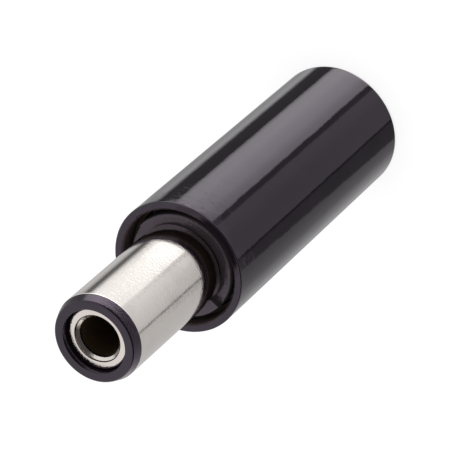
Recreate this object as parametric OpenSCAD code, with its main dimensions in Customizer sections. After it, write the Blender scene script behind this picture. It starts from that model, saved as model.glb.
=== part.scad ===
// DC barrel plug, solder type: a screw-on hood over a riveted contact core.
// The plug stands on the rear face of its hood, so +Z runs along the axis
// from the cable hole to the tip of the barrel. Lengths are millimetres.

/* [Hood] */
// Length of the hood
hood_l = 20.7; // [18:0.1:25]
// Width of the rim round the mouth
rim_w = 0.53; // [0.4:0.01:1]
// How much the hood's radius shrinks towards its rear end
hood_taper = 0.08; // [0:0.01:0.2]
// Rounding of the hood's rear edge
hood_edge_r = 0.45; // [0.2:0.05:0.6]
// Thickness of the wall with the cable hole
end_wall_t = 1.8; // [1.2:0.1:2.2]
// Diameter of the cable hole
cable_hole_d = 5; // [3:0.1:5.6]
// Chamfer at the outer end of the cable hole
cable_hole_chamfer = 0.2; // [0.1:0.05:0.4]
// Width of the ledge that stops the base inside the hood
ledge_w = 0.3; // [0.2:0.05:0.4]
// Radial gap around the base flange at the mouth
mouth_gap = 0.32; // [0.1:0.02:0.4]
// Depth of the wider mouth
mouth_depth = 1.4; // [1:0.1:2]
// Chamfer inside the mouth
mouth_chamfer = 0.1; // [0.05:0.01:0.2]
// Rounding of the outer edge of the mouth
mouth_edge_r = 0.08; // [0.04:0.01:0.15]

/* [Base] */
// Length of the base, from its seat to its front face
base_l = 5; // [4.5:0.1:5.5]
// How far the front flange lies inside the thread's diameter
flange_inset = 0.05; // [0.02:0.01:0.1]
// Thickness of the front flange
flange_t = 0.75; // [0.5:0.05:1]
// Width of the relief groove behind the flange
relief_w = 0.4; // [0.3:0.05:0.6]
// Depth of the relief groove
relief_depth = 0.22; // [0.1:0.02:0.25]
// How far the front face lies inside the hood
face_depth = 0.5; // [0.42:0.02:0.8]
// Rise of the two half-round ramps on the front face
ramp_rise = 0.38; // [0.2:0.02:0.4]
// Chamfer at the rear edge of the base
base_chamfer = 0.25; // [0.1:0.05:0.3]

/* [Outer sleeve] */
// Outer diameter of the barrel
barrel_d = 5.5; // [5:0.05:6]
// Wall of the barrel
barrel_wall = 0.45; // [0.3:0.05:0.6]
// How far the tip stands out of the hood
tip_reach = 9.75; // [8:0.05:14]
// Depth of the neck that the base grips
neck_depth = 0.2; // [0.1:0.05:0.3]
// How far the collar stands out of the neck
collar_w = 0.4; // [0.2:0.05:0.5]
// Thickness of the collar
collar_t = 0.9; // [0.6:0.1:1]
// Distance from the base's rear face to the collar
collar_h = 1.9; // [1.6:0.1:2.2]
// Wall of the rear tail
tail_wall = 0.3; // [0.2:0.02:0.4]
// Width of the rim that is swaged over the sleeve lug
swage_w = 0.2; // [0.1:0.02:0.3]
// Height of the swaged rim
swage_t = 0.3; // [0.2:0.05:0.4]
// Chamfer on the sharp edges of the turned parts
edge_chamfer = 0.05; // [0.02:0.01:0.08]

/* [Nose bush] */
// Length of the nose in front of the sleeve
nose_l = 0.6; // [0.4:0.05:1]
// How far the nose narrows towards its front face
nose_taper = 0.21; // [0:0.01:0.3]
// Rounding of the nose's front edge
nose_edge_r = 0.12; // [0.05:0.01:0.2]
// Rounding of the opening's edge
nose_hole_edge_r = 0.1; // [0.05:0.01:0.15]
// Radial gap between the opening and the contact's lip
lip_gap = 0.15; // [0.05:0.01:0.2]
// Wall of the bush in the sleeve's tail
bush_tail_wall = 0.22; // [0.15:0.01:0.3]

/* [Centre contact] */
// Diameter of the socket for the centre pin
socket_d = 2.54; // [2.1:0.01:2.8]
// Wall of the contact
contact_wall = 0.27; // [0.2:0.01:0.3]
// Depth of the socket, from its lip
socket_l = 10.4; // [8:0.1:11.5]
// How far the flared lip stands out of the contact
lip_w = 0.31; // [0.2:0.01:0.35]
// Thickness of the flared lip
lip_t = 0.3; // [0.2:0.02:0.4]
// How far the lip lies inside the nose
lip_depth = 0.37; // [0.2:0.01:0.6]
// Radius of the lip's funnel
funnel_r = 0.35; // [0.2:0.01:0.4]
// Diameter of the stem behind the contact
stem_d = 1.8; // [1.4:0.1:2]
// How far the rivet head stands out of the stem
rivet_w = 0.4; // [0.2:0.05:0.45]
// Height of the rivet head
rivet_t = 0.4; // [0.3:0.05:0.6]

/* [Solder lugs] */
// Thickness of the lugs' sheet
sheet_t = 0.4; // [0.3:0.02:0.45]
// Gap between the strap and the swaged rim
strap_gap = 0.1; // [0.05:0.01:0.2]
// Inner radius of the lugs' bends
bend_r = 0.1; // [0.05:0.01:0.15]
// Space between the strap and the hood's cavity
strap_room = 0.35; // [0.25:0.01:0.5]
// Gap between the cable clamp and the hood's cavity
clamp_gap = 0.1; // [0.05:0.01:0.2]
// Length of the strap and the clamp behind the ring
strap_l = 8.45; // [7:0.05:9.5]
// Length of the cable clamp
clamp_l = 2.4; // [1.6:0.1:3]
// Height of the clamp's wing tips above the axis
wing_rise = 0.9; // [0:0.1:1.4]
// Diameter of the solder hole in the strap
strap_hole_d = 1.1; // [0.8:0.1:1.4]
// Thickness of the insulating washer
washer_t = 0.5; // [0.3:0.05:0.7]
// Radial width of the centre lug's ring
centre_ring_w = 0.6; // [0.4:0.05:0.8]
// Width of the centre lug's tab
tab_w = 1.8; // [1.4:0.1:2.2]
// Length of the centre lug's tab
tab_l = 4.6; // [3.5:0.1:5]
// Gap between the tab and the rivet head
tab_gap = 0.1; // [0.05:0.01:0.2]
// Diameter of the solder hole in the tab
tab_hole_d = 0.9; // [0.6:0.1:1.1]

/* [Fits] */
// Radial clearance between the base's thread and the hood
thread_gap = 0.05; // [0.03:0.01:0.08]
// Clearance around a moulded or pressed piece
fit_gap = 0.02; // [0.01:0.01:0.04]

/* [Hidden] */
$fn = 96;
black = [0.06, 0.055, 0.065];
nickel = [0.80, 0.79, 0.76];
brown = [0.34, 0.20, 0.11];
// Cuts run this far past the face that they open.
past = 0.1;
// Flats in a quarter of an edge rounding
edge_steps = 6;

// Radii from the axis outwards: centre contact, bush and sleeve tail, ...
socket_r = socket_d / 2;
contact_r = socket_r + contact_wall;
bush_hole_r = contact_r + fit_gap;
bush_tail_r = bush_hole_r + bush_tail_wall;
tail_bore_r = bush_tail_r + fit_gap;
tail_r = tail_bore_r + tail_wall;
swage_r = tail_r + swage_w;
// ... the sleeve lug's strap and clamp, ...
strap_in = swage_r + strap_gap;
strap_out = strap_in + sheet_t;
cavity_r = strap_out + strap_room;
clamp_r = cavity_r - clamp_gap;
// ... the hood and the base's thread inside it
bore_r = cavity_r + ledge_w;
thread_r = bore_r - thread_gap;
flange_r = thread_r - flange_inset;
mouth_r = flange_r + mouth_gap;
hood_r = mouth_r + rim_w;
cable_hole_r = cable_hole_d / 2;

// Radii of the barrel and of the nose in front of it
barrel_r = barrel_d / 2;
barrel_bore_r = barrel_r - barrel_wall;
neck_r = barrel_r - neck_depth;
collar_r = neck_r + collar_w;
nose_r = barrel_r - nose_taper;
lip_r = contact_r + lip_w;
nose_hole_r = lip_r + lip_gap;

// Radii of the centre contact's rear end
stem_r = stem_d / 2;
rivet_r = stem_r + rivet_w;

// Levels along the axis
face_z = hood_l - face_depth;
seat_z = face_z - base_l;
mouth_z = hood_l - mouth_depth;
tip_z = hood_l + tip_reach;
sleeve_end_z = tip_z - nose_l;
shoulder_z = face_z + ramp_rise + fit_gap;
collar_z = seat_z + collar_h;
step_z = collar_z + collar_t;
ring_z = seat_z - sheet_t;
clamp_z = ring_z - strap_l;
swage_z = ring_z - swage_t;
washer_z = swage_z - washer_t;
centre_ring_z = washer_z - sheet_t;
rivet_z = centre_ring_z - rivet_t;
lip_z = tip_z - lip_depth;
lip_seat_z = lip_z - lip_t;
socket_end_z = lip_z - socket_l;

// Points of an arc about (cx, cy), from angle a0 to angle a1
function arc(cx, cy, r, a0, a1) =
    [for (i = [0:edge_steps])
        let (a = a0 + (a1 - a0) * i / edge_steps)
        [cx + r * cos(a), cy + r * sin(a)]];

// A turned or moulded round piece from its half section (radius, height)
module turned(section) {
    rotate_extrude() polygon(section);
}

// Screw-on cover, with a cable hole behind and a threaded mouth in front
module hood() {
    rear_r = hood_r - hood_taper;
    color(black) turned(concat(
        [[cable_hole_r + cable_hole_chamfer, 0]],
        arc(rear_r - hood_edge_r, hood_edge_r, hood_edge_r, -90, 0),
        arc(hood_r - mouth_edge_r, hood_l - mouth_edge_r, mouth_edge_r, 0, 90),
        [[mouth_r + mouth_chamfer, hood_l],
         [mouth_r, hood_l - mouth_chamfer],
         [mouth_r, mouth_z],
         [bore_r, mouth_z],
         [bore_r, seat_z],
         [cavity_r, seat_z],
         [cavity_r, end_wall_t],
         [cable_hole_r, end_wall_t],
         [cable_hole_r, cable_hole_chamfer]]));
}

// Moulded base: thread outside, the sleeve's collar held inside
module base() {
    groove_r = flange_r - relief_depth;
    flange_z = face_z - flange_t;
    neck_hole_r = neck_r + fit_gap;
    tail_hole_r = tail_r + fit_gap;
    pocket_r = collar_r + fit_gap;
    color(black) {
        turned([
            [tail_hole_r, seat_z],
            [thread_r - base_chamfer, seat_z],
            [thread_r, seat_z + base_chamfer],
            [thread_r, flange_z - relief_w],
            [groove_r, flange_z - relief_w],
            [groove_r, flange_z],
            [flange_r, flange_z],
            [flange_r, face_z],
            [neck_hole_r, face_z],
            [neck_hole_r, step_z + fit_gap],
            [pocket_r, step_z + fit_gap],
            [pocket_r, collar_z - fit_gap],
            [tail_hole_r, collar_z - fit_gap]]);
        front_ramps();
    }
}

// Two half-round ramps on the base's front face, each a half turn long.
// Where one is at its highest the other starts, so two steps are left.
module front_ramps() {
    sink = flange_t / 2;
    for (turn = [0, 180])
        rotate([0, 0, turn])
            intersection() {
                translate([0, 0, face_z - sink])
                    difference() {
                        cylinder(r = flange_r, h = sink + ramp_rise);
                        translate([0, 0, -past])
                            cylinder(r = neck_r + fit_gap, h = sink + ramp_rise + 2 * past);
                    }
                rotate([90, 0, 0])
                    linear_extrude(flange_r)
                        polygon([
                            [-flange_r, face_z - sink],
                            [flange_r, face_z - sink],
                            [flange_r, face_z + ramp_rise],
                            [-flange_r, face_z]]);
            }
}

// Plated tube that makes the outer contact, with its tail swaged at the rear
module outer_sleeve() {
    color(nickel) turned([
        [tail_bore_r, swage_z],
        [swage_r - edge_chamfer, swage_z],
        [swage_r, swage_z + edge_chamfer],
        [swage_r, ring_z],
        [tail_r, ring_z],
        [tail_r, collar_z],
        [collar_r, collar_z],
        [collar_r, step_z],
        [neck_r, step_z],
        [neck_r, shoulder_z],
        [barrel_r, shoulder_z],
        [barrel_r, sleeve_end_z - edge_chamfer],
        [barrel_r - edge_chamfer, sleeve_end_z],
        [barrel_bore_r, sleeve_end_z],
        [barrel_bore_r, step_z],
        [tail_bore_r, step_z]]);
}

// Insulator: the black nose ring and the tube between the two contacts
module nose_bush() {
    tube_r = barrel_bore_r - fit_gap;
    color(black) turned(concat(
        [[bush_hole_r, swage_z],
         [bush_tail_r, swage_z],
         [bush_tail_r, step_z],
         [tube_r, step_z],
         [tube_r, sleeve_end_z],
         [barrel_r, sleeve_end_z]],
        arc(nose_r - nose_edge_r, tip_z - nose_edge_r, nose_edge_r, 0, 90),
        arc(nose_hole_r + nose_hole_edge_r, tip_z - nose_hole_edge_r, nose_hole_edge_r, 90, 180),
        [[nose_hole_r, lip_seat_z],
         [bush_hole_r, lip_seat_z]]));
}

// Turned centre contact: flared lip, socket, stem and rivet head
module inner_contact() {
    lip_edge = lip_t / 2;
    color(nickel) turned(concat(
        [[0, rivet_z],
         [stem_r, rivet_z],
         [rivet_r, centre_ring_z - rivet_t / 3],
         [rivet_r, centre_ring_z],
         [stem_r, centre_ring_z],
         [stem_r, swage_z],
         [contact_r, swage_z],
         [contact_r, lip_seat_z]],
        arc(lip_r - lip_edge, lip_z - lip_edge, lip_edge, -90, 90),
        arc(socket_r + funnel_r, lip_z - funnel_r, funnel_r, 90, 180),
        [[socket_r, socket_end_z],
         [0, socket_end_z - socket_r / 2]]));
}

// Outline of a strip that leaves a ring and turns down at one side:
// out along the ring's level to y_out, then down to z_end
module bent_strip(y_in, z_top, y_out, z_end, width) {
    outer = bend_r + sheet_t;
    cy = y_out - outer;
    cz = z_top - outer;
    translate([-width / 2, 0, 0])
        rotate([90, 0, 90])
            linear_extrude(width)
                polygon(concat(
                    [[y_in, z_top - sheet_t], [y_in, z_top]],
                    arc(cy, cz, outer, 90, 0),
                    [[y_out, z_end], [y_out - sheet_t, z_end]],
                    arc(cy, cz, bend_r, 0, 90)));
}

// Stamped lug of the sleeve: ring, strap with a solder hole, cable clamp
module sleeve_lug() {
    ring_hole_r = tail_r + fit_gap;
    hole_z = (clamp_z + clamp_l + ring_z) / 2;
    // The strap is as wide as the flat floor of the clamp.
    strap_w = 2 * sqrt(clamp_r * clamp_r - strap_out * strap_out);
    color(nickel) difference() {
        union() {
            translate([0, 0, ring_z])
                cylinder(r = clamp_r, h = sheet_t);
            rotate([0, 0, 180])
                bent_strip(ring_hole_r, seat_z, strap_out, clamp_z, strap_w);
            cable_clamp();
        }
        translate([0, 0, ring_z - past])
            cylinder(r = ring_hole_r, h = sheet_t + 2 * past);
        translate([0, 0, hole_z])
            rotate([90, 0, 0])
                cylinder(d = strap_hole_d, h = strap_out + past);
    }
}

// Open channel with a flat floor; its wings close round the cable
module cable_clamp() {
    in_r = clamp_r - sheet_t;
    translate([0, 0, clamp_z])
        linear_extrude(clamp_l)
            difference() {
                clamp_side(clamp_r, strap_out);
                clamp_side(in_r, strap_in);
                translate([-clamp_r - past, wing_rise])
                    square([2 * (clamp_r + past), clamp_r]);
            }
}

// Disc with a flat cut below at a distance from the centre
module clamp_side(r, flat_y) {
    intersection() {
        circle(r);
        translate([-r, -flat_y])
            square([2 * r, flat_y + r]);
    }
}

// Washer that keeps the centre lug off the swaged rim
module insulating_washer() {
    hole_r = stem_r + fit_gap;
    color(brown) turned([
        [hole_r, washer_z],
        [swage_r, washer_z],
        [swage_r, swage_z],
        [hole_r, swage_z]]);
}

// Stamped lug of the centre contact: ring and tab with a solder hole
module centre_lug() {
    hole_r = stem_r + fit_gap;
    tab_y = rivet_r + tab_gap + sheet_t;
    tab_end_z = washer_z - tab_l;
    round_z = tab_end_z + tab_w / 2;
    color(nickel) difference() {
        union() {
            translate([0, 0, centre_ring_z])
                cylinder(r = stem_r + centre_ring_w, h = sheet_t);
            bent_strip(hole_r, washer_z, tab_y, round_z, tab_w);
            translate([0, tab_y, round_z])
                rotate([90, 0, 0])
                    cylinder(d = tab_w, h = sheet_t);
        }
        translate([0, 0, centre_ring_z - past])
            cylinder(r = hole_r, h = sheet_t + 2 * past);
        translate([0, tab_y + past, round_z])
            rotate([90, 0, 0])
                cylinder(d = tab_hole_d, h = sheet_t + 2 * past);
    }
}

hood();
base();
outer_sleeve();
nose_bush();
inner_contact();
sleeve_lug();
insulating_washer();
centre_lug();
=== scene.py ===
"""Looks of a cable-mount dc barrel plug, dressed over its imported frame.

The plug stands on the rear end of its hood with its axis on +Z. Lengths below are
millimetres until a mesh is made, and angles are degrees round the axis from +X.
Every turned or moulded piece is a section carried round the axis. The frame's boxes
give the main sizes, and the rest are the named values of each piece.
"""
import math

import bmesh
import bpy
import numpy as np
from mathutils import Matrix, Vector

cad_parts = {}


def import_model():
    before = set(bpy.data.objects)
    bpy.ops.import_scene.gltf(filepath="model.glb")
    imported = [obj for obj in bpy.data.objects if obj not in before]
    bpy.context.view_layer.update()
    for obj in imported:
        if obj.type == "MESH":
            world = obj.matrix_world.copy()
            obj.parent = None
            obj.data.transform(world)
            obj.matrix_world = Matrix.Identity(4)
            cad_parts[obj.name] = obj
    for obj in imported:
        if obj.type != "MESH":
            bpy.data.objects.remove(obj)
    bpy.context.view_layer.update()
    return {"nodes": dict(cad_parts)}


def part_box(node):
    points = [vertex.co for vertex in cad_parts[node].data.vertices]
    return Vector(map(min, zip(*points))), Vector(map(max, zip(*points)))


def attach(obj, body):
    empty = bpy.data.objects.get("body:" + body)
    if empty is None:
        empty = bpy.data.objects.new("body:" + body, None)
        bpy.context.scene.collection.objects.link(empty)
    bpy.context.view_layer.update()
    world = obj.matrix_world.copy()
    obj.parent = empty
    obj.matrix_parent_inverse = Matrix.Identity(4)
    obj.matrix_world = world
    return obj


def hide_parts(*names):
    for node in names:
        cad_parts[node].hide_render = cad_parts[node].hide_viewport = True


MM = 0.001
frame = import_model()

# ---------------------------------------------------------------- camera and stage
CAMERA_TARGET = Vector((-0.025, 0.0, 14.82))
CAMERA_DISTANCE = 216.9
CAMERA_AZIMUTH = 85.35
CAMERA_ELEVATION = 50.87
CAMERA_ROLL = -131.56
CAMERA_LENS = 292.3
CAMERA_SENSOR = 36.0
# Nearest and farthest that the camera sees, in metres
CAMERA_CLIP = (0.01, 10.0)

FLOOR_SIZE = 3000.0
# For the camera the floor's white is a glow of its own and a dimmer colour that is lit and
# takes the shadow, and for the light that bounces off it the floor is plain white
FLOOR_GLOW = 0.76
FLOOR_LIT = 0.36
FLOOR_WHITE = 0.8
TENT_R = 200.0
TENT_STEPS = 96
TENT_TOP = -5.0
TENT_BOTTOM = -700.0
# Levels between which the lining changes: a standing wall of the hood mirrors what lies
# below them, and the barrel what lies above
TENT_HOOD_TOP = -222.0
TENT_BARREL_FOOT = -219.2
# The nose's sloping side mirrors the lining near the horizon
TENT_NOSE_FROM = -140.0
TENT_NOSE_FULL = -100.0
# A slanted dark card hangs in front of the lining's lower part: its near edge is upright,
# and its far edge leans from CARD_FOOT_SIDE at CARD_FOOT to CARD_HEAD_SIDE at CARD_HEAD
CARD_FOOT = -270.0
CARD_HEAD = -216.0
CARD_FOOT_SIDE = -46.3
CARD_HEAD_SIDE = -38.0
CARD_NEAR_SIDE = -29.0
CARD_FAR_BLUR = 1.5
CARD_NEAR_BLUR = 1.0
CARD_DIMS_TO = 0.37
DOME_STRENGTH = 0.9
# Strength of the dome where it is mirrored. How near a direction lies to the dark side is its
# cosine with DOME_DARK_AZIMUTH: the dome goes from far to zenith and then to dark over these
DOME_FAR = 1.14
DOME_ZENITH = 1.2
DOME_DARK = 0.07
DOME_DARK_AZIMUTH = CAMERA_AZIMUTH - 30
FAR_TO_ZENITH = (-0.6, 0.0)
ZENITH_TO_DARK = (-0.03, 0.24)

# Linings of the light tent as (side, strength): side is the direction, in degrees from the
# one that faces the camera, in which a standing wall has to face to mirror that strip
HOOD_LINING = [
    (-90, 0.42), (-83, 0.48), (-79, 0.57), (-72, 0.69), (-62, 0.66), (-58, 0.59), (-55, 0.50),
    (-50, 0.50), (-42, 0.48), (-30, 0.55), (-29.2, 0.05), (-28.0, 0.05), (-27.2, 0.48),
    (-13, 0.55), (-7, 0.60), (-4, 0.67), (3.2, 0.70), (4.4, 0.25), (8.4, 0.24), (9.3, 1.78),
    (14, 1.98), (19.5, 2.42), (33, 2.48), (38, 2.14), (41, 1.96), (44, 1.16), (45.2, 0.16),
    (58.4, 0.12), (61, 0.64), (64, 1.04), (73.5, 0.53), (90, 0.30),
]
BARREL_LINING = [
    (-90, 0.70), (-78, 0.57), (-30.6, 0.58), (-29.8, 0.24), (-28.4, 0.24), (-27.6, 0.60),
    (-22, 0.66), (-10, 0.75), (2, 0.87), (8.6, 0.96), (9.8, 1.11), (19, 1.16), (28.6, 1.21),
    (40.6, 1.18), (46.6, 1.10), (49.6, 0.74), (52.6, 0.31), (55.6, 0.12), (59, 0.13),
    (62, 0.40), (68, 0.60), (79.6, 0.55), (90, 0.62),
]
NOSE_LINING = [
    (-90, 1.0), (-73, 1.4), (-58, 1.15), (-43, 0.95), (-28, 0.70), (-13, 0.98), (2, 1.9),
    (10, 3.4), (17, 4.4), (28, 4.6), (38, 3.3), (44, 2.6), (48, 0.5), (61, 0.4), (76, 0.35),
    (84, 0.8), (90, 1.0),
]
# Strength of a lining's brightest possible strip
LINING_TOP = 5.0


def camera():
    """The camera looks at a point beside the plug's axis, from round the side and above, rolled."""
    azimuth, elevation, roll = map(math.radians, (CAMERA_AZIMUTH, CAMERA_ELEVATION, CAMERA_ROLL))
    back = Vector((math.cos(elevation) * math.cos(azimuth),
                   math.cos(elevation) * math.sin(azimuth),
                   math.sin(elevation)))
    level_right = Vector((0, 0, 1)).cross(back).normalized()
    level_up = back.cross(level_right)
    right = math.cos(roll) * level_right + math.sin(roll) * level_up
    up = back.cross(right)
    data = bpy.data.cameras.new("camera")
    data.lens = CAMERA_LENS
    data.sensor_width = CAMERA_SENSOR
    data.clip_start, data.clip_end = CAMERA_CLIP
    obj = placed("camera", data)
    turn = Matrix((right, up, back)).transposed().to_4x4()
    obj.matrix_world = Matrix.Translation((CAMERA_TARGET + CAMERA_DISTANCE * back) * MM) @ turn
    bpy.context.scene.camera = obj


# ---------------------------------------------------------------- nodes
def add_node(tree, kind, inputs=None, **settings):
    """A node of this kind, with settings as properties and inputs as links or values."""
    made = tree.nodes.new(kind)
    for name, value in settings.items():
        setattr(made, name, value)
    for name, value in (inputs or {}).items():
        feed(tree, made.inputs[name], value)
    return made


def feed(tree, socket, value):
    """Links a socket to another node's output, or sets its value."""
    if isinstance(value, bpy.types.NodeSocket):
        tree.links.new(value, socket)
    else:
        socket.default_value = value


def maths(tree, operation, first, second=0.0, third=0.0):
    """Output of one arithmetic step."""
    return add_node(tree, "ShaderNodeMath", {0: first, 1: second, 2: third}, operation=operation).outputs[0]


def blend(tree, factor, low, high):
    """low where factor is 0, high where it is 1, and a straight mix between."""
    return maths(tree, "MULTIPLY_ADD", factor, maths(tree, "SUBTRACT", high, low), low)


def slope(tree, value, start, end, low=0.0, high=1.0):
    """low up to start, high from end on, and a straight line between."""
    ends = {"Value": value, "From Min": start, "From Max": end, "To Min": low, "To Max": high}
    return add_node(tree, "ShaderNodeMapRange", ends).outputs[0]


def mixed(tree, mask, clean, marked):
    """Colour that goes from clean to marked with the mask."""
    return add_node(tree, "ShaderNodeMix", {0: mask, 6: clean, 7: marked}, data_type="RGBA").outputs[2]


def line_noise(tree, along, detail):
    """Noise from 0 to 1 that varies along one number only, about once per unit."""
    inputs = {"W": along, "Scale": 1.0, "Detail": detail}
    return add_node(tree, "ShaderNodeTexNoise", inputs, noise_dimensions="1D").outputs[0]


def place_of(tree):
    """Object coordinates, and the same as height and distance from the axis in millimetres."""
    spot = add_node(tree, "ShaderNodeTexCoord").outputs["Object"]
    flat = add_node(tree, "ShaderNodeVectorMath", {0: spot, 1: (1 / MM, 1 / MM, 0)}, operation="MULTIPLY")
    radius = add_node(tree, "ShaderNodeVectorMath", {0: flat.outputs[0]}, operation="LENGTH")
    split = add_node(tree, "ShaderNodeSeparateXYZ", {0: spot})
    return spot, maths(tree, "DIVIDE", split.outputs["Z"], MM), radius.outputs["Value"]


# ---------------------------------------------------------------- meshes
TURN_STEPS = 192
FILLET_STEPS = 6
# A fillet's straight steps reach to this much of its own reach, or of half its shorter side
EASE = 1.3
EASE_ROOM = 0.98


def even_turn(steps=TURN_STEPS):
    """Angles of a whole turn in equal steps, in degrees."""
    return np.arange(steps) * 360.0 / steps


def rounded(corners, closed=True):
    """Section line through corners (radius, height, rounding).

    Each corner gives way to the arc that touches both its sides. A short straight step
    before and after the arc keeps the shading of the long faces flat.
    """
    corners = [tuple(c) + (0.0,) * (3 - len(c)) for c in corners]
    count = len(corners)
    line = []
    for i, (r, z, size) in enumerate(corners):
        here = np.array([r, z])
        if size <= 0 or (not closed and i in (0, count - 1)):
            line.append(here)
            continue
        to_last = np.array(corners[i - 1][:2]) - here
        to_next = np.array(corners[(i + 1) % count][:2]) - here
        room = 0.5 * min(np.linalg.norm(to_last), np.linalg.norm(to_next))
        to_last /= np.linalg.norm(to_last)
        to_next /= np.linalg.norm(to_next)
        half = 0.5 * math.acos(np.clip(to_last @ to_next, -1, 1))
        reach = size / math.tan(half)
        middle = here + (to_last + to_next) / np.linalg.norm(to_last + to_next) * size / math.sin(half)
        a0 = math.atan2(*(here + to_last * reach - middle)[::-1])
        a1 = math.atan2(*(here + to_next * reach - middle)[::-1])
        sweep = (a1 - a0 + math.pi) % (2 * math.pi) - math.pi
        a = a0 + sweep * np.linspace(0, 1, FILLET_STEPS + 1)
        arc = middle + size * np.stack([np.cos(a), np.sin(a)], 1)
        margin = min(reach * EASE, room * EASE_ROOM)
        if margin > reach:
            line.append(here + to_last * margin)
        line.extend(arc)
        if margin > reach:
            line.append(here + to_next * margin)
    return np.array(line)


def turned(name, section, angles=None, shape=None):
    """Closed surface of a section carried round the axis.

    A point of section (r, z) at angle a lies at (r cos a, r sin a, z). shape, where given,
    takes r, z and a as whole arrays and gives back the changed r and z.
    """
    angles = even_turn() if angles is None else angles
    a, r = np.meshgrid(np.radians(angles), section[:, 0], indexing="ij")
    _, z = np.meshgrid(angles, section[:, 1], indexing="ij")
    if shape:
        r, z = shape(r, z, a)
    points = np.stack([r * np.cos(a), r * np.sin(a), z], -1).reshape(-1, 3)
    turns, steps = r.shape
    i, j = np.meshgrid(np.arange(turns), np.arange(steps), indexing="ij")
    i_next, j_next = (i + 1) % turns, (j + 1) % steps
    quads = np.stack([i * steps + j, i_next * steps + j,
                      i_next * steps + j_next, i * steps + j_next], -1).reshape(-1, 4)
    return solid(name, points, quads)


def placed(name, data):
    """Object for a mesh or a camera, linked into the scene."""
    obj = bpy.data.objects.new(name, data)
    bpy.context.scene.collection.objects.link(obj)
    return obj


def smoothed(mesh):
    """The mesh with every face shaded smooth."""
    mesh.polygons.foreach_set("use_smooth", np.ones(len(mesh.polygons), bool))
    return mesh


def solid(name, points, faces):
    """Object from points in millimetres: doubles merged, faces outwards, smooth."""
    mesh = bpy.data.meshes.new(name)
    mesh.from_pydata((points * MM).tolist(), [], faces.tolist())
    work = bmesh.new()
    work.from_mesh(mesh)
    bmesh.ops.remove_doubles(work, verts=work.verts, dist=1e-8)
    bmesh.ops.dissolve_degenerate(work, edges=work.edges, dist=1e-8)
    bmesh.ops.recalc_face_normals(work, faces=work.faces)
    work.to_mesh(mesh)
    work.free()
    return placed(name, smoothed(mesh))


def wall(r, z_from, z_to, rows):
    """Plain points of a section along a straight wall, for a thread or a pattern to move."""
    return [(r, z, 0.0) for z in np.linspace(z_from, z_to, rows)]


def smooth_step(x):
    """0 below 0, 1 above 1, and 3x^2 - 2x^3 between."""
    x = np.clip(x, 0.0, 1.0)
    return x * x * (3 - 2 * x)


THREAD_PITCH = 0.75
# Shares of half a pitch that the flat crest and the flank take
THREAD_CREST = 0.14
THREAD_FLANK = 0.66


def thread_cut(z, a, z_low, z_high, runout):
    """Depth, 0 to 1, of a right-handed thread at height z and angle a.

    The phase is z / pitch - a / 2 pi. Within one turn the depth is a V with a flat crest
    and a flat root, and it fades to nothing over the runout at both ends.
    """
    phase = np.mod(z / THREAD_PITCH - a / (2 * np.pi), 1.0)
    vee = 1 - np.abs(2 * phase - 1)
    cut = smooth_step((vee - THREAD_CREST) / THREAD_FLANK)
    fade = smooth_step((z - z_low) / runout) * smooth_step((z_high - z) / runout)
    return cut * fade


def dress(obj, body, slot, material, *nodes):
    """Puts a finished piece on its body, in place of its frame nodes."""
    obj.data.materials.clear()
    obj.data.materials.append(material)
    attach(obj, body)
    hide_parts(*nodes)
    return obj


def measured(node):
    """Greatest radius, lowest and highest level of a frame node, in millimetres."""
    low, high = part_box(node)
    return high.x / MM, low.z / MM, high.z / MM


# ---------------------------------------------------------------- sizes
HOOD_R, _, HOOD_L = measured("hood")
THREAD_R, SEAT_Z, RAMP_TOP_Z = measured("base")
COLLAR_R, SWAGE_Z, SLEEVE_END_Z = measured("outer_sleeve")
BARREL_R, _, TIP_Z = measured("nose_bush")
LIP_R, RIVET_Z, LIP_Z = measured("inner_contact")
SWAGE_R, WASHER_Z, _ = measured("insulating_washer")

RIM_W = 0.53
MOUTH_R = HOOD_R - RIM_W
MOUTH_CHAMFER = 0.12
REAR_R = HOOD_R - 0.08
REAR_EDGE_R = 0.28
CABLE_HOLE_R = 2.5
CABLE_HOLE_EDGE_R = 0.2
END_WALL_T = 1.8
MOUTH_Z = HOOD_L - 1.4
BORE_R = THREAD_R + 0.05
CAVITY_R = BORE_R - 0.3
CAVITY_FILLET_R = 0.3
THREAD_DEPTH = 0.16
HOOD_THREAD_ROWS = 110
HOOD_RUNOUT = 0.35

FACE_Z = HOOD_L - 0.5
FLANGE_R = THREAD_R - 0.05
FLANGE_Z = FACE_Z - 0.75
FLANGE_EDGE_R = 0.2
GROOVE_R = FLANGE_R - 0.22
GROOVE_Z = FLANGE_Z - 0.4
BASE_THREAD_ROWS = 100
BASE_RUNOUT = 0.3
BASE_REAR_EDGE_R = 0.22
RAMP_RISE = RAMP_TOP_Z - FACE_Z
# Width of a ramp's end step, in degrees round the axis
STEP_WIDTH = 1.4

NECK_R = BARREL_R - 0.2
TAIL_R = SWAGE_R - 0.2
TAIL_BORE_R = TAIL_R - 0.3
BARREL_BORE_R = BARREL_R - 0.45
RING_Z = SEAT_Z - 0.4
COLLAR_Z = SEAT_Z + 1.9
STEP_Z = COLLAR_Z + 0.9
GAP = 0.02
SHOULDER_Z = RAMP_TOP_Z + GAP
SWAGE_EDGE_R = 0.12

NOSE_R = BARREL_R - 0.21
NOSE_EDGE_R = 0.12
NOSE_HOLE_R = LIP_R + 0.15
CONTACT_R = LIP_R - 0.31
SOCKET_R = CONTACT_R - 0.27
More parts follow.
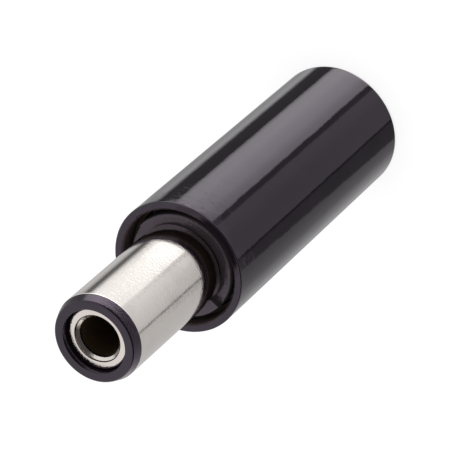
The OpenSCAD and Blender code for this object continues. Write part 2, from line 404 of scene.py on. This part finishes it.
# The rolled lip fills more of the nose's hole than the plain frame node, and lies deeper
ROLLED_LIP_R = NOSE_HOLE_R - 0.05
ROLLED_LIP_Z = TIP_Z - 0.40
LIP_T = 0.3
LIP_EDGE_R = 0.17
FUNNEL_W = 0.22
FUNNEL_DEPTH = 0.24
FUNNEL_STEP_W = 0.05
FUNNEL_STEP = 0.11
SOCKET_L = 10.4
SOCKET_END_Z = LIP_Z - SOCKET_L
STEM_R = 0.9
RIVET_R = 1.3
RIVET_EDGE_R = 0.25
CENTRE_RING_Z = RIVET_Z + 0.4
LUG_EDGE_R = 0.05

# Roundings of the other edges, from turned metal to moulded plastic
EDGE_FINE = 0.02
EDGE_CRISP = 0.03
EDGE_CLEAN = 0.04
EDGE_BROKEN = 0.05
EDGE_SOFT = 0.08


# ---------------------------------------------------------------- shader groups
def shader_group(name, label, value, result):
    """New node group with one number in and one out: its tree, the number in and the socket out."""
    tree = bpy.data.node_groups.new(name, "ShaderNodeTree")
    number = tree.interface.new_socket(label, in_out="INPUT", socket_type="NodeSocketFloat")
    number.default_value = value
    tree.interface.new_socket(result, in_out="OUTPUT", socket_type="NodeSocketFloat")
    given = tree.nodes.new("NodeGroupInput").outputs[label]
    return tree, given, tree.nodes.new("NodeGroupOutput").inputs[result]


def even_noise(tree, spot, size, detail):
    """Noise from 0 to 1 whose lumps are about size millimetres wide."""
    inputs = {"Vector": spot, "Scale": maths(tree, "DIVIDE", 1 / MM, size), "Detail": detail}
    return add_node(tree, "ShaderNodeTexNoise", inputs).outputs[0]


def fine_grain():
    """Even grain of a moulded or plated skin, as a height."""
    tree, size, wanted = shader_group("fine_grain", "Size", 0.1, "Height")
    spot, _, _ = place_of(tree)
    feed(tree, wanted, even_noise(tree, spot, size, 2.0))
    return tree


def handling_marks():
    """Soft patches that hands and storage leave, as a mask that is 0 on clean skin."""
    tree, size, wanted = shader_group("handling_marks", "Size", 3.0, "Mask")
    spot, _, _ = place_of(tree)
    feed(tree, wanted, slope(tree, even_noise(tree, spot, size, 4.0), 0.46, 0.68))
    return tree


def turning_rings():
    """Rings that a turning tool leaves round the axis on sides and ends, as a height."""
    tree, pitch, wanted = shader_group("turning_rings", "Pitch", 0.05, "Height")
    _, height, radius = place_of(tree)
    along = maths(tree, "DIVIDE", maths(tree, "ADD", height, radius), pitch)
    feed(tree, wanted, line_noise(tree, along, 2.0))
    return tree


def grouped(tree, group, label, value):
    """Output of a shader group that is set by one number."""
    node = tree.nodes.new("ShaderNodeGroup")
    node.node_tree = group
    node.inputs[label].default_value = value
    return node.outputs[0]


GRAIN = fine_grain()
MARKS = handling_marks()
RINGS = turning_rings()


# ---------------------------------------------------------------- finishes
def new_material(name):
    """Material with an empty tree and one shader: the material, the tree and the shader."""
    material = bpy.data.materials.new(name)
    material.use_nodes = True
    tree = material.node_tree
    tree.nodes.clear()
    shader = add_node(tree, "ShaderNodeBsdfPrincipled")
    add_node(tree, "ShaderNodeOutputMaterial", {"Surface": shader.outputs[0]})
    return material, tree, shader


def bumped(tree, height, depth, under=None):
    """Normal of a skin whose height varies by depth millimetres, on top of another normal."""
    node = add_node(tree, "ShaderNodeBump", {"Height": height, "Distance": depth * MM, "Strength": 1.0})
    if under is not None:
        feed(tree, node.inputs["Normal"], under)
    return node.outputs["Normal"]


# Colours, and what handling marks make of them: plastics lighter, plate duller
BLACK = (0.0066, 0.0041, 0.0076)
BASE_BLACK = (0.029, 0.0245, 0.0275)
MARKED = 1.4
DULLED = 0.93
BLACK_TINT = (0.96, 0.79, 1.0, 1.0)
PLASTIC_MARKS = 3.5
PLATE_MARKS = 1.6
RING_PITCH = 0.06
# The hood's bore is matt and brownish, and the socket's wall deep down gets painted shade: a dull, dark
# colour
BORE_BROWN = (0.034, 0.025, 0.017)
BORE_ROUGHNESS = 0.85
SOCKET_PAINTED_SHADE = (0.20, 0.14, 0.08)
SOCKET_ROUGHNESS = 0.5
BOARD_DARK = (0.12, 0.05, 0.022)
BOARD_LIGHT = (0.30, 0.15, 0.07)
BOARD_LAYER_T = 0.06
BOARD_FIBRE_W = 0.12


def plastic(name, colour, roughness, peel, grain, bore=0.0):
    """Black moulded plastic, matt nearer the axis than bore.

    peel is the size and depth of the skin's slow waves, and grain those of its texture.
    """
    material, tree, shader = new_material(name)
    marks = grouped(tree, MARKS, "Size", PLASTIC_MARKS)
    rough = maths(tree, "MULTIPLY_ADD", marks, 0.4 * roughness, roughness)
    tone = mixed(tree, marks, (*colour, 1), (*(MARKED * c for c in colour), 1))
    if bore:
        _, _, radius = place_of(tree)
        inside = slope(tree, radius, bore - 0.03, bore, 1.0, 0.0)
        rough = blend(tree, inside, rough, BORE_ROUGHNESS)
        tone = mixed(tree, inside, tone, (*BORE_BROWN, 1))
    skin = bumped(tree, grouped(tree, GRAIN, "Size", peel[0]), peel[1])
    skin = bumped(tree, grouped(tree, GRAIN, "Size", grain[0]), grain[1], skin)
    feed(tree, shader.inputs["Base Color"], tone)
    feed(tree, shader.inputs["Roughness"], rough)
    feed(tree, shader.inputs["Normal"], skin)
    shader.inputs["IOR"].default_value = 1.5
    shader.inputs["Specular Tint"].default_value = BLACK_TINT
    return material


def plated(name, colour, roughness, grain, ring_depth=0.0, socket=None):
    """Plated metal: fine grain, and rings under the plate where the piece was turned.

    grain is its size and depth. socket, where given, is the radius and the level of a deep
    bore whose wall below that level gets painted shade: a dull, dark colour.
    """
    material, tree, shader = new_material(name)
    marks = grouped(tree, MARKS, "Size", PLATE_MARKS)
    skin = bumped(tree, grouped(tree, GRAIN, "Size", grain[0]), grain[1])
    if ring_depth:
        skin = bumped(tree, grouped(tree, RINGS, "Pitch", RING_PITCH), ring_depth, skin)
    tone = mixed(tree, marks, (*colour, 1), (*(DULLED * c for c in colour), 1))
    rough = maths(tree, "MULTIPLY_ADD", marks, 0.05, roughness)
    if socket:
        # Painted shade: the socket's wall deep below its funnel is coloured dark and made duller
        _, height, radius = place_of(tree)
        hole_r, hole_z = socket
        deep_wall_shade = maths(tree, "MULTIPLY", slope(tree, radius, hole_r + 0.01, hole_r + 0.03, 1.0, 0.0),
                     slope(tree, height, hole_z - 0.25, hole_z, 1.0, 0.0))
        tone = mixed(tree, deep_wall_shade, tone, (*SOCKET_PAINTED_SHADE, 1))
        rough = blend(tree, deep_wall_shade, rough, SOCKET_ROUGHNESS)
    feed(tree, shader.inputs["Base Color"], tone)
    feed(tree, shader.inputs["Roughness"], rough)
    feed(tree, shader.inputs["Normal"], skin)
    shader.inputs["Metallic"].default_value = 1.0
    return material


def fibre_board(name):
    """Brown phenolic board: thin layers seen at its rim, and fibres across its face."""
    material, tree, shader = new_material(name)
    spot, height, _ = place_of(tree)
    layers = line_noise(tree, maths(tree, "DIVIDE", height, BOARD_LAYER_T), 2.0)
    stretched = add_node(tree, "ShaderNodeMapping", {"Vector": spot, "Scale": (1.0, 0.2, 1.0)})
    fibres = even_noise(tree, stretched.outputs[0], BOARD_FIBRE_W, 3.0)
    tone = maths(tree, "MULTIPLY", layers, fibres)
    feed(tree, shader.inputs["Base Color"],
         mixed(tree, slope(tree, tone, 0.12, 0.38), (*BOARD_DARK, 1), (*BOARD_LIGHT, 1)))
    feed(tree, shader.inputs["Roughness"], slope(tree, fibres, 0.3, 0.7, 0.5, 0.72))
    feed(tree, shader.inputs["Normal"], bumped(tree, tone, 0.01))
    return material


hood_black = plastic("glossy_moulded_black", BLACK, roughness=0.045, peel=(1.5, 0.008),
                     grain=(0.2, 0.0015), bore=MOUTH_R + 0.08)
base_black = plastic("base_moulded_black", BASE_BLACK, roughness=0.18, peel=(0.6, 0.03),
                     grain=(0.22, 0.032))
nose_black = plastic("nose_moulded_black", BLACK, roughness=0.15, peel=(0.8, 0.006),
                     grain=(0.12, 0.006))
nickel = plated("bright_nickel_plate", (0.76, 0.715, 0.68), roughness=0.04, grain=(0.12, 0.0048),
                ring_depth=0.0008)
# The socket's deep wall carries painted shade
contact_nickel = plated("contact_nickel_plate", (0.60, 0.55, 0.515), roughness=0.08,
                        grain=(0.09, 0.010), ring_depth=0.003,
                        socket=(SOCKET_R, ROLLED_LIP_Z - FUNNEL_DEPTH))
tin = plated("dull_tin_plate", (0.70, 0.69, 0.67), roughness=0.34, grain=(0.11, 0.010))
board = fibre_board("brown_board")


# ---------------------------------------------------------------- pieces
def hood():
    """Screw-on cover: a tapered tube with an end wall, threaded inside the mouth."""
    section = rounded([
        (CABLE_HOLE_R, 0, CABLE_HOLE_EDGE_R),
        (REAR_R, 0, REAR_EDGE_R),
        (HOOD_R, HOOD_L, EDGE_SOFT),
        (MOUTH_R + MOUTH_CHAMFER, HOOD_L, EDGE_CRISP),
        (MOUTH_R, HOOD_L - MOUTH_CHAMFER, EDGE_CRISP),
        (MOUTH_R, MOUTH_Z, EDGE_BROKEN),
        (BORE_R, MOUTH_Z, EDGE_BROKEN),
        *wall(BORE_R, MOUTH_Z - 0.1, SEAT_Z + 0.1, HOOD_THREAD_ROWS),
        (BORE_R, SEAT_Z, EDGE_CRISP),
        (CAVITY_R, SEAT_Z, EDGE_BROKEN),
        (CAVITY_R, END_WALL_T, CAVITY_FILLET_R),
        (CABLE_HOLE_R, END_WALL_T, 0.15),
    ])

    def cut(r, z, a):
        on_wall = np.abs(r - BORE_R) < 1e-6
        depth = thread_cut(z, a, SEAT_Z + 0.15, MOUTH_Z - 0.1, HOOD_RUNOUT)
        return r + on_wall * depth * THREAD_DEPTH, z

    dress(turned("hood_shell", section, shape=cut), "cover", "hood_plastic", hood_black, "hood")


def base():
    """Moulded base: thread outside, two half-round ramps in front that end in steps."""
    neck_hole_r = NECK_R + GAP
    tail_hole_r = TAIL_R + GAP
    pocket_r = COLLAR_R + GAP
    section = rounded([
        (tail_hole_r, SEAT_Z, EDGE_BROKEN),
        (THREAD_R, SEAT_Z, BASE_REAR_EDGE_R),
        *wall(THREAD_R, SEAT_Z + 0.35, GROOVE_Z - 0.1, BASE_THREAD_ROWS),
        (THREAD_R, GROOVE_Z, EDGE_BROKEN),
        (GROOVE_R, GROOVE_Z, EDGE_SOFT),
        (GROOVE_R, FLANGE_Z, EDGE_SOFT),
        (FLANGE_R, FLANGE_Z, EDGE_SOFT),
        (FLANGE_R, FACE_Z, FLANGE_EDGE_R),
        (neck_hole_r, FACE_Z, 0.06),
        (neck_hole_r, STEP_Z + GAP, EDGE_CRISP),
        (pocket_r, STEP_Z + GAP, EDGE_BROKEN),
        (pocket_r, COLLAR_Z - GAP, EDGE_BROKEN),
        (tail_hole_r, COLLAR_Z - GAP, EDGE_CRISP),
    ])
    close = np.linspace(-1.0 - STEP_WIDTH, 1.0 + STEP_WIDTH, 17)
    angles = np.unique(np.concatenate([even_turn(), close % 360, 180 + close]))

    def ramps(r, z, a):
        """Front points rise by RAMP_RISE times u, and the thread is cut into the side.

        With t the angle within its half turn, u = t / (180 - STEP_WIDTH) up to where the
        step starts, and then it falls to 0 over the step's width.
        """
        t = np.mod(np.degrees(a), 180.0)
        u = np.where(t < 180.0 - STEP_WIDTH, t / (180.0 - STEP_WIDTH), (180.0 - t) / STEP_WIDTH)
        front = smooth_step((z - (FACE_Z - 0.45)) / 0.2) * (r > neck_hole_r - 0.01)
        z_new = z + front * RAMP_RISE * u
        on_wall = np.abs(r - THREAD_R) < 1e-6
        depth = thread_cut(z, a + np.pi, SEAT_Z + 0.3, GROOVE_Z - 0.05, BASE_RUNOUT)
        return r - on_wall * depth * THREAD_DEPTH, z_new

    dress(turned("base_body", section, angles, ramps), "core", "base_plastic", base_black, "base")


def outer_sleeve():
    """Outer contact: barrel, neck and collar, with the tail swaged over at the rear."""
    section = rounded([
        (TAIL_BORE_R, SWAGE_Z, EDGE_SOFT),
        (SWAGE_R, SWAGE_Z, SWAGE_EDGE_R),
        (SWAGE_R, RING_Z, EDGE_BROKEN),
        (TAIL_R, RING_Z, EDGE_FINE),
        (TAIL_R, COLLAR_Z, EDGE_BROKEN),
        (COLLAR_R, COLLAR_Z, EDGE_SOFT),
        (COLLAR_R, STEP_Z, EDGE_SOFT),
        (NECK_R, STEP_Z, EDGE_BROKEN),
        (NECK_R, SHOULDER_Z, EDGE_CRISP),
        (BARREL_R, SHOULDER_Z, EDGE_BROKEN),
        (BARREL_R, SLEEVE_END_Z, EDGE_CLEAN),
        (BARREL_BORE_R, SLEEVE_END_Z, EDGE_CLEAN),
        (BARREL_BORE_R, STEP_Z, EDGE_BROKEN),
        (TAIL_BORE_R, STEP_Z, EDGE_BROKEN),
    ])
    dress(turned("barrel_sleeve", section), "core", "barrel_nickel", nickel, "outer_sleeve")


def nose_bush():
    """Insulator: the tapered nose ring in front and the tube inside the sleeve."""
    tube_r = BARREL_BORE_R - GAP
    hole_r = CONTACT_R + GAP
    tail_r = TAIL_BORE_R - GAP
    section = rounded([
        (hole_r, SWAGE_Z, EDGE_CRISP),
        (tail_r, SWAGE_Z, EDGE_CRISP),
        (tail_r, STEP_Z, EDGE_CRISP),
        (tube_r, STEP_Z, EDGE_BROKEN),
        (tube_r, SLEEVE_END_Z, EDGE_FINE),
        (BARREL_R, SLEEVE_END_Z, EDGE_CRISP),
        (NOSE_R, TIP_Z, NOSE_EDGE_R),
        (NOSE_HOLE_R, TIP_Z, EDGE_CLEAN),
        (NOSE_HOLE_R, ROLLED_LIP_Z - LIP_T, EDGE_CRISP),
        (hole_r, ROLLED_LIP_Z - LIP_T, EDGE_CRISP),
    ])
    dress(turned("nose_insulator", section), "core", "nose_plastic", nose_black, "nose_bush")


def inner_contact():
    """Centre contact: rolled lip, funnel and socket, with the stem and its rivet head."""
    section = rounded([
        (0, RIVET_Z),
        (RIVET_R - 0.1, RIVET_Z, RIVET_EDGE_R),
        (RIVET_R, CENTRE_RING_Z - 0.1, 0.1),
        (RIVET_R, CENTRE_RING_Z, EDGE_CRISP),
        (STEM_R, CENTRE_RING_Z, EDGE_FINE),
        (STEM_R, SWAGE_Z, EDGE_FINE),
        (CONTACT_R, SWAGE_Z, EDGE_BROKEN),
        (CONTACT_R, ROLLED_LIP_Z - LIP_T, EDGE_CRISP),
        (ROLLED_LIP_R, ROLLED_LIP_Z - LIP_T, 0.1),
        (ROLLED_LIP_R, ROLLED_LIP_Z, LIP_EDGE_R),
        (SOCKET_R + FUNNEL_W, ROLLED_LIP_Z, EDGE_CLEAN),
        (SOCKET_R + FUNNEL_W - FUNNEL_STEP_W, ROLLED_LIP_Z - FUNNEL_STEP, EDGE_FINE),
        (SOCKET_R, ROLLED_LIP_Z - FUNNEL_DEPTH, EDGE_CRISP),
        (SOCKET_R, SOCKET_END_Z, EDGE_BROKEN),
        (0, SOCKET_END_Z - SOCKET_R / 2),
    ], closed=False)
    dress(turned("socket_contact", section), "core", "contact_nickel", contact_nickel, "inner_contact")


def insulating_washer():
    """Flat board washer between the swaged rim and the centre lug."""
    section = rounded([
        (STEM_R + GAP, WASHER_Z, EDGE_CRISP),
        (SWAGE_R, WASHER_Z, EDGE_CLEAN),
        (SWAGE_R, SWAGE_Z, EDGE_CLEAN),
        (STEM_R + GAP, SWAGE_Z, EDGE_CRISP),
    ])
    dress(turned("board_washer", section), "core", "washer_board", board, "insulating_washer")


def stamped(name, node):
    """Lug of stamped sheet: a merged copy of its frame node.

    The bevel is held by its clamp to a few thousandths of a millimetre, because the mesh
    has very short edges, so the lug's edges look sharp.
    """
    source = frame["nodes"][node]
    mesh = source.data.copy()
    mesh.name = name
    mesh.transform(source.matrix_world)
    work = bmesh.new()
    work.from_mesh(mesh)
    bmesh.ops.remove_doubles(work, verts=work.verts, dist=1e-7)
    bmesh.ops.dissolve_limit(work, angle_limit=math.radians(1), verts=work.verts, edges=work.edges)
    work.to_mesh(mesh)
    work.free()
    obj = placed(name, smoothed(mesh))
    bevel = obj.modifiers.new("edge", "BEVEL")
    bevel.width = LUG_EDGE_R * MM
    bevel.segments = 2
    bevel.limit_method = "ANGLE"
    bevel.angle_limit = math.radians(30)
    bevel.harden_normals = True
    dress(obj, "core", "lug_tin", tin, node)


# ---------------------------------------------------------------- stage
def stage_tree(obj, name):
    """Empty tree of a new material for a part of the stage, which lights nothing by itself."""
    material = bpy.data.materials.new(name)
    material.use_nodes = True
    material.node_tree.nodes.clear()
    material.cycles.emission_sampling = "NONE"
    obj.data.materials.append(material)
    return material.node_tree


def lining(tree, strips, along):
    """Strength of a lining over the whole turn, where along goes from 0 to 1."""
    node = add_node(tree, "ShaderNodeValToRGB", {"Fac": along})
    ramp = node.color_ramp
    ramp.interpolation = "LINEAR"
    while len(ramp.elements) < len(strips):
        ramp.elements.new(0.5)
    for element, (side, strength) in zip(ramp.elements, strips):
        element.position = (side + 90) / 180
        level = strength / LINING_TOP
        element.color = (level, level, level, 1)
    return node.outputs["Color"]


def card(tree, side, height):
    """What the slanted dark card leaves of the light: 1 beside it, CARD_DIMS_TO behind it."""
    far_edge = slope(tree, height, CARD_FOOT, CARD_HEAD, CARD_FOOT_SIDE, CARD_HEAD_SIDE)
    past_far = slope(tree, maths(tree, "SUBTRACT", side, far_edge), 0.0, CARD_FAR_BLUR)
    before_near = slope(tree, side, CARD_NEAR_SIDE - CARD_NEAR_BLUR, CARD_NEAR_SIDE, 1.0, 0.0)
    return blend(tree, maths(tree, "MULTIPLY", past_far, before_near), 1.0, CARD_DIMS_TO)


def tent():
    """Round light tent, open at both ends, that only mirror-like reflections see.

    A point at angle a and height z lies at (R cos a, R sin a, z), with R the tent's radius.
    It hangs below the floor, because standing walls mirror down there.
    """
    a, z = np.meshgrid(np.radians(even_turn(TENT_STEPS)), [TENT_BOTTOM, TENT_TOP], indexing="ij")
    points = np.stack([TENT_R * np.cos(a), TENT_R * np.sin(a), z], -1).reshape(-1, 3)
    i = np.arange(TENT_STEPS)
    i_next = (i + 1) % TENT_STEPS
    quads = np.stack([2 * i, 2 * i + 1, 2 * i_next + 1, 2 * i_next], -1)
    mesh = bpy.data.meshes.new("light_tent")
    mesh.from_pydata((points * MM).tolist(), [], quads.tolist())
    obj = placed("light_tent", mesh)
    tree = stage_tree(obj, "tent_lining")
    spot, height, _ = place_of(tree)
    split = add_node(tree, "ShaderNodeSeparateXYZ", {0: spot})
    azimuth = maths(tree, "ARCTAN2", split.outputs["Y"], split.outputs["X"])
    turn = maths(tree, "DIVIDE", maths(tree, "SUBTRACT", azimuth, math.radians(CAMERA_AZIMUTH)), 2 * math.pi)
    along = maths(tree, "FRACT", maths(tree, "ADD", turn, 1.5))
    side = maths(tree, "MULTIPLY_ADD", along, 180.0, -90.0)
    for_hood = maths(tree, "MULTIPLY", lining(tree, HOOD_LINING, along), card(tree, side, height))
    for_barrel = lining(tree, BARREL_LINING, along)
    for_nose = lining(tree, NOSE_LINING, along)
    level = blend(tree, slope(tree, height, TENT_HOOD_TOP, TENT_BARREL_FOOT), for_hood, for_barrel)
    level = blend(tree, slope(tree, height, TENT_NOSE_FROM, TENT_NOSE_FULL), level, for_nose)
    glow = add_node(tree, "ShaderNodeEmission", {"Strength": maths(tree, "MULTIPLY", level, LINING_TOP)})
    add_node(tree, "ShaderNodeOutputMaterial", {"Surface": glow.outputs[0]})
    for unseen in ("camera", "diffuse", "transmission", "volume_scatter", "shadow"):
        setattr(obj, "visible_" + unseen, False)


def floor():
    """White floor that takes the plug's shadow and lets mirrored rays through to the tent."""
    half = FLOOR_SIZE / 2 * MM
    mesh = bpy.data.meshes.new("floor")
    corners = [(-half, -half, 0), (half, -half, 0), (half, half, 0), (-half, half, 0)]
    mesh.from_pydata(corners, [], [(0, 1, 2, 3)])
    obj = placed("floor", mesh)
    tree = stage_tree(obj, "white_floor")
    path = add_node(tree, "ShaderNodeLightPath")
    white = add_node(tree, "ShaderNodeBsdfDiffuse", {"Color": (FLOOR_WHITE, FLOOR_WHITE, FLOOR_WHITE, 1)})
    dim = add_node(tree, "ShaderNodeBsdfDiffuse", {"Color": (FLOOR_LIT, FLOOR_LIT, FLOOR_LIT, 1)})
    glow = add_node(tree, "ShaderNodeEmission", {"Strength": FLOOR_GLOW})
    seen = add_node(tree, "ShaderNodeAddShader", {0: dim.outputs[0], 1: glow.outputs[0]})
    plain = add_node(tree, "ShaderNodeMixShader",
                     {0: path.outputs["Is Camera Ray"], 1: white.outputs[0], 2: seen.outputs[0]})
    clear = add_node(tree, "ShaderNodeBsdfTransparent")
    surface = add_node(tree, "ShaderNodeMixShader",
                       {0: path.outputs["Is Glossy Ray"], 1: plain.outputs[0], 2: clear.outputs[0]})
    add_node(tree, "ShaderNodeOutputMaterial", {"Surface": surface.outputs[0]})


def world():
    """White dome: even in the light it casts, but with one dark side where it is mirrored."""
    made = bpy.data.worlds.new("studio")
    bpy.context.scene.world = made
    made.use_nodes = True
    tree = made.node_tree
    tree.nodes.clear()
    path = add_node(tree, "ShaderNodeLightPath")
    ray = add_node(tree, "ShaderNodeTexCoord").outputs["Generated"]
    azimuth = math.radians(DOME_DARK_AZIMUTH)
    near = add_node(tree, "ShaderNodeVectorMath", {0: ray, 1: (math.cos(azimuth), math.sin(azimuth), 0)},
                    operation="DOT_PRODUCT").outputs["Value"]
    mirrored = maths(tree, "MULTIPLY", slope(tree, near, *FAR_TO_ZENITH, DOME_FAR, DOME_ZENITH),
                     slope(tree, near, *ZENITH_TO_DARK, 1.0, DOME_DARK))
    cast = blend(tree, path.outputs["Is Glossy Ray"], DOME_STRENGTH, mirrored)
    strength = maths(tree, "MAXIMUM", cast, path.outputs["Is Camera Ray"])
    back = add_node(tree, "ShaderNodeBackground", {"Color": (1, 1, 1, 1), "Strength": strength})
    add_node(tree, "ShaderNodeOutputWorld", {"Surface": back.outputs[0]})


# ---------------------------------------------------------------- making
camera()
hood()
base()
outer_sleeve()
nose_bush()
inner_contact()
insulating_washer()
stamped("sleeve_solder_lug", "sleeve_lug")
stamped("centre_solder_lug", "centre_lug")
tent()
floor()
world()
bpy.context.scene.view_settings.view_transform = "Standard"
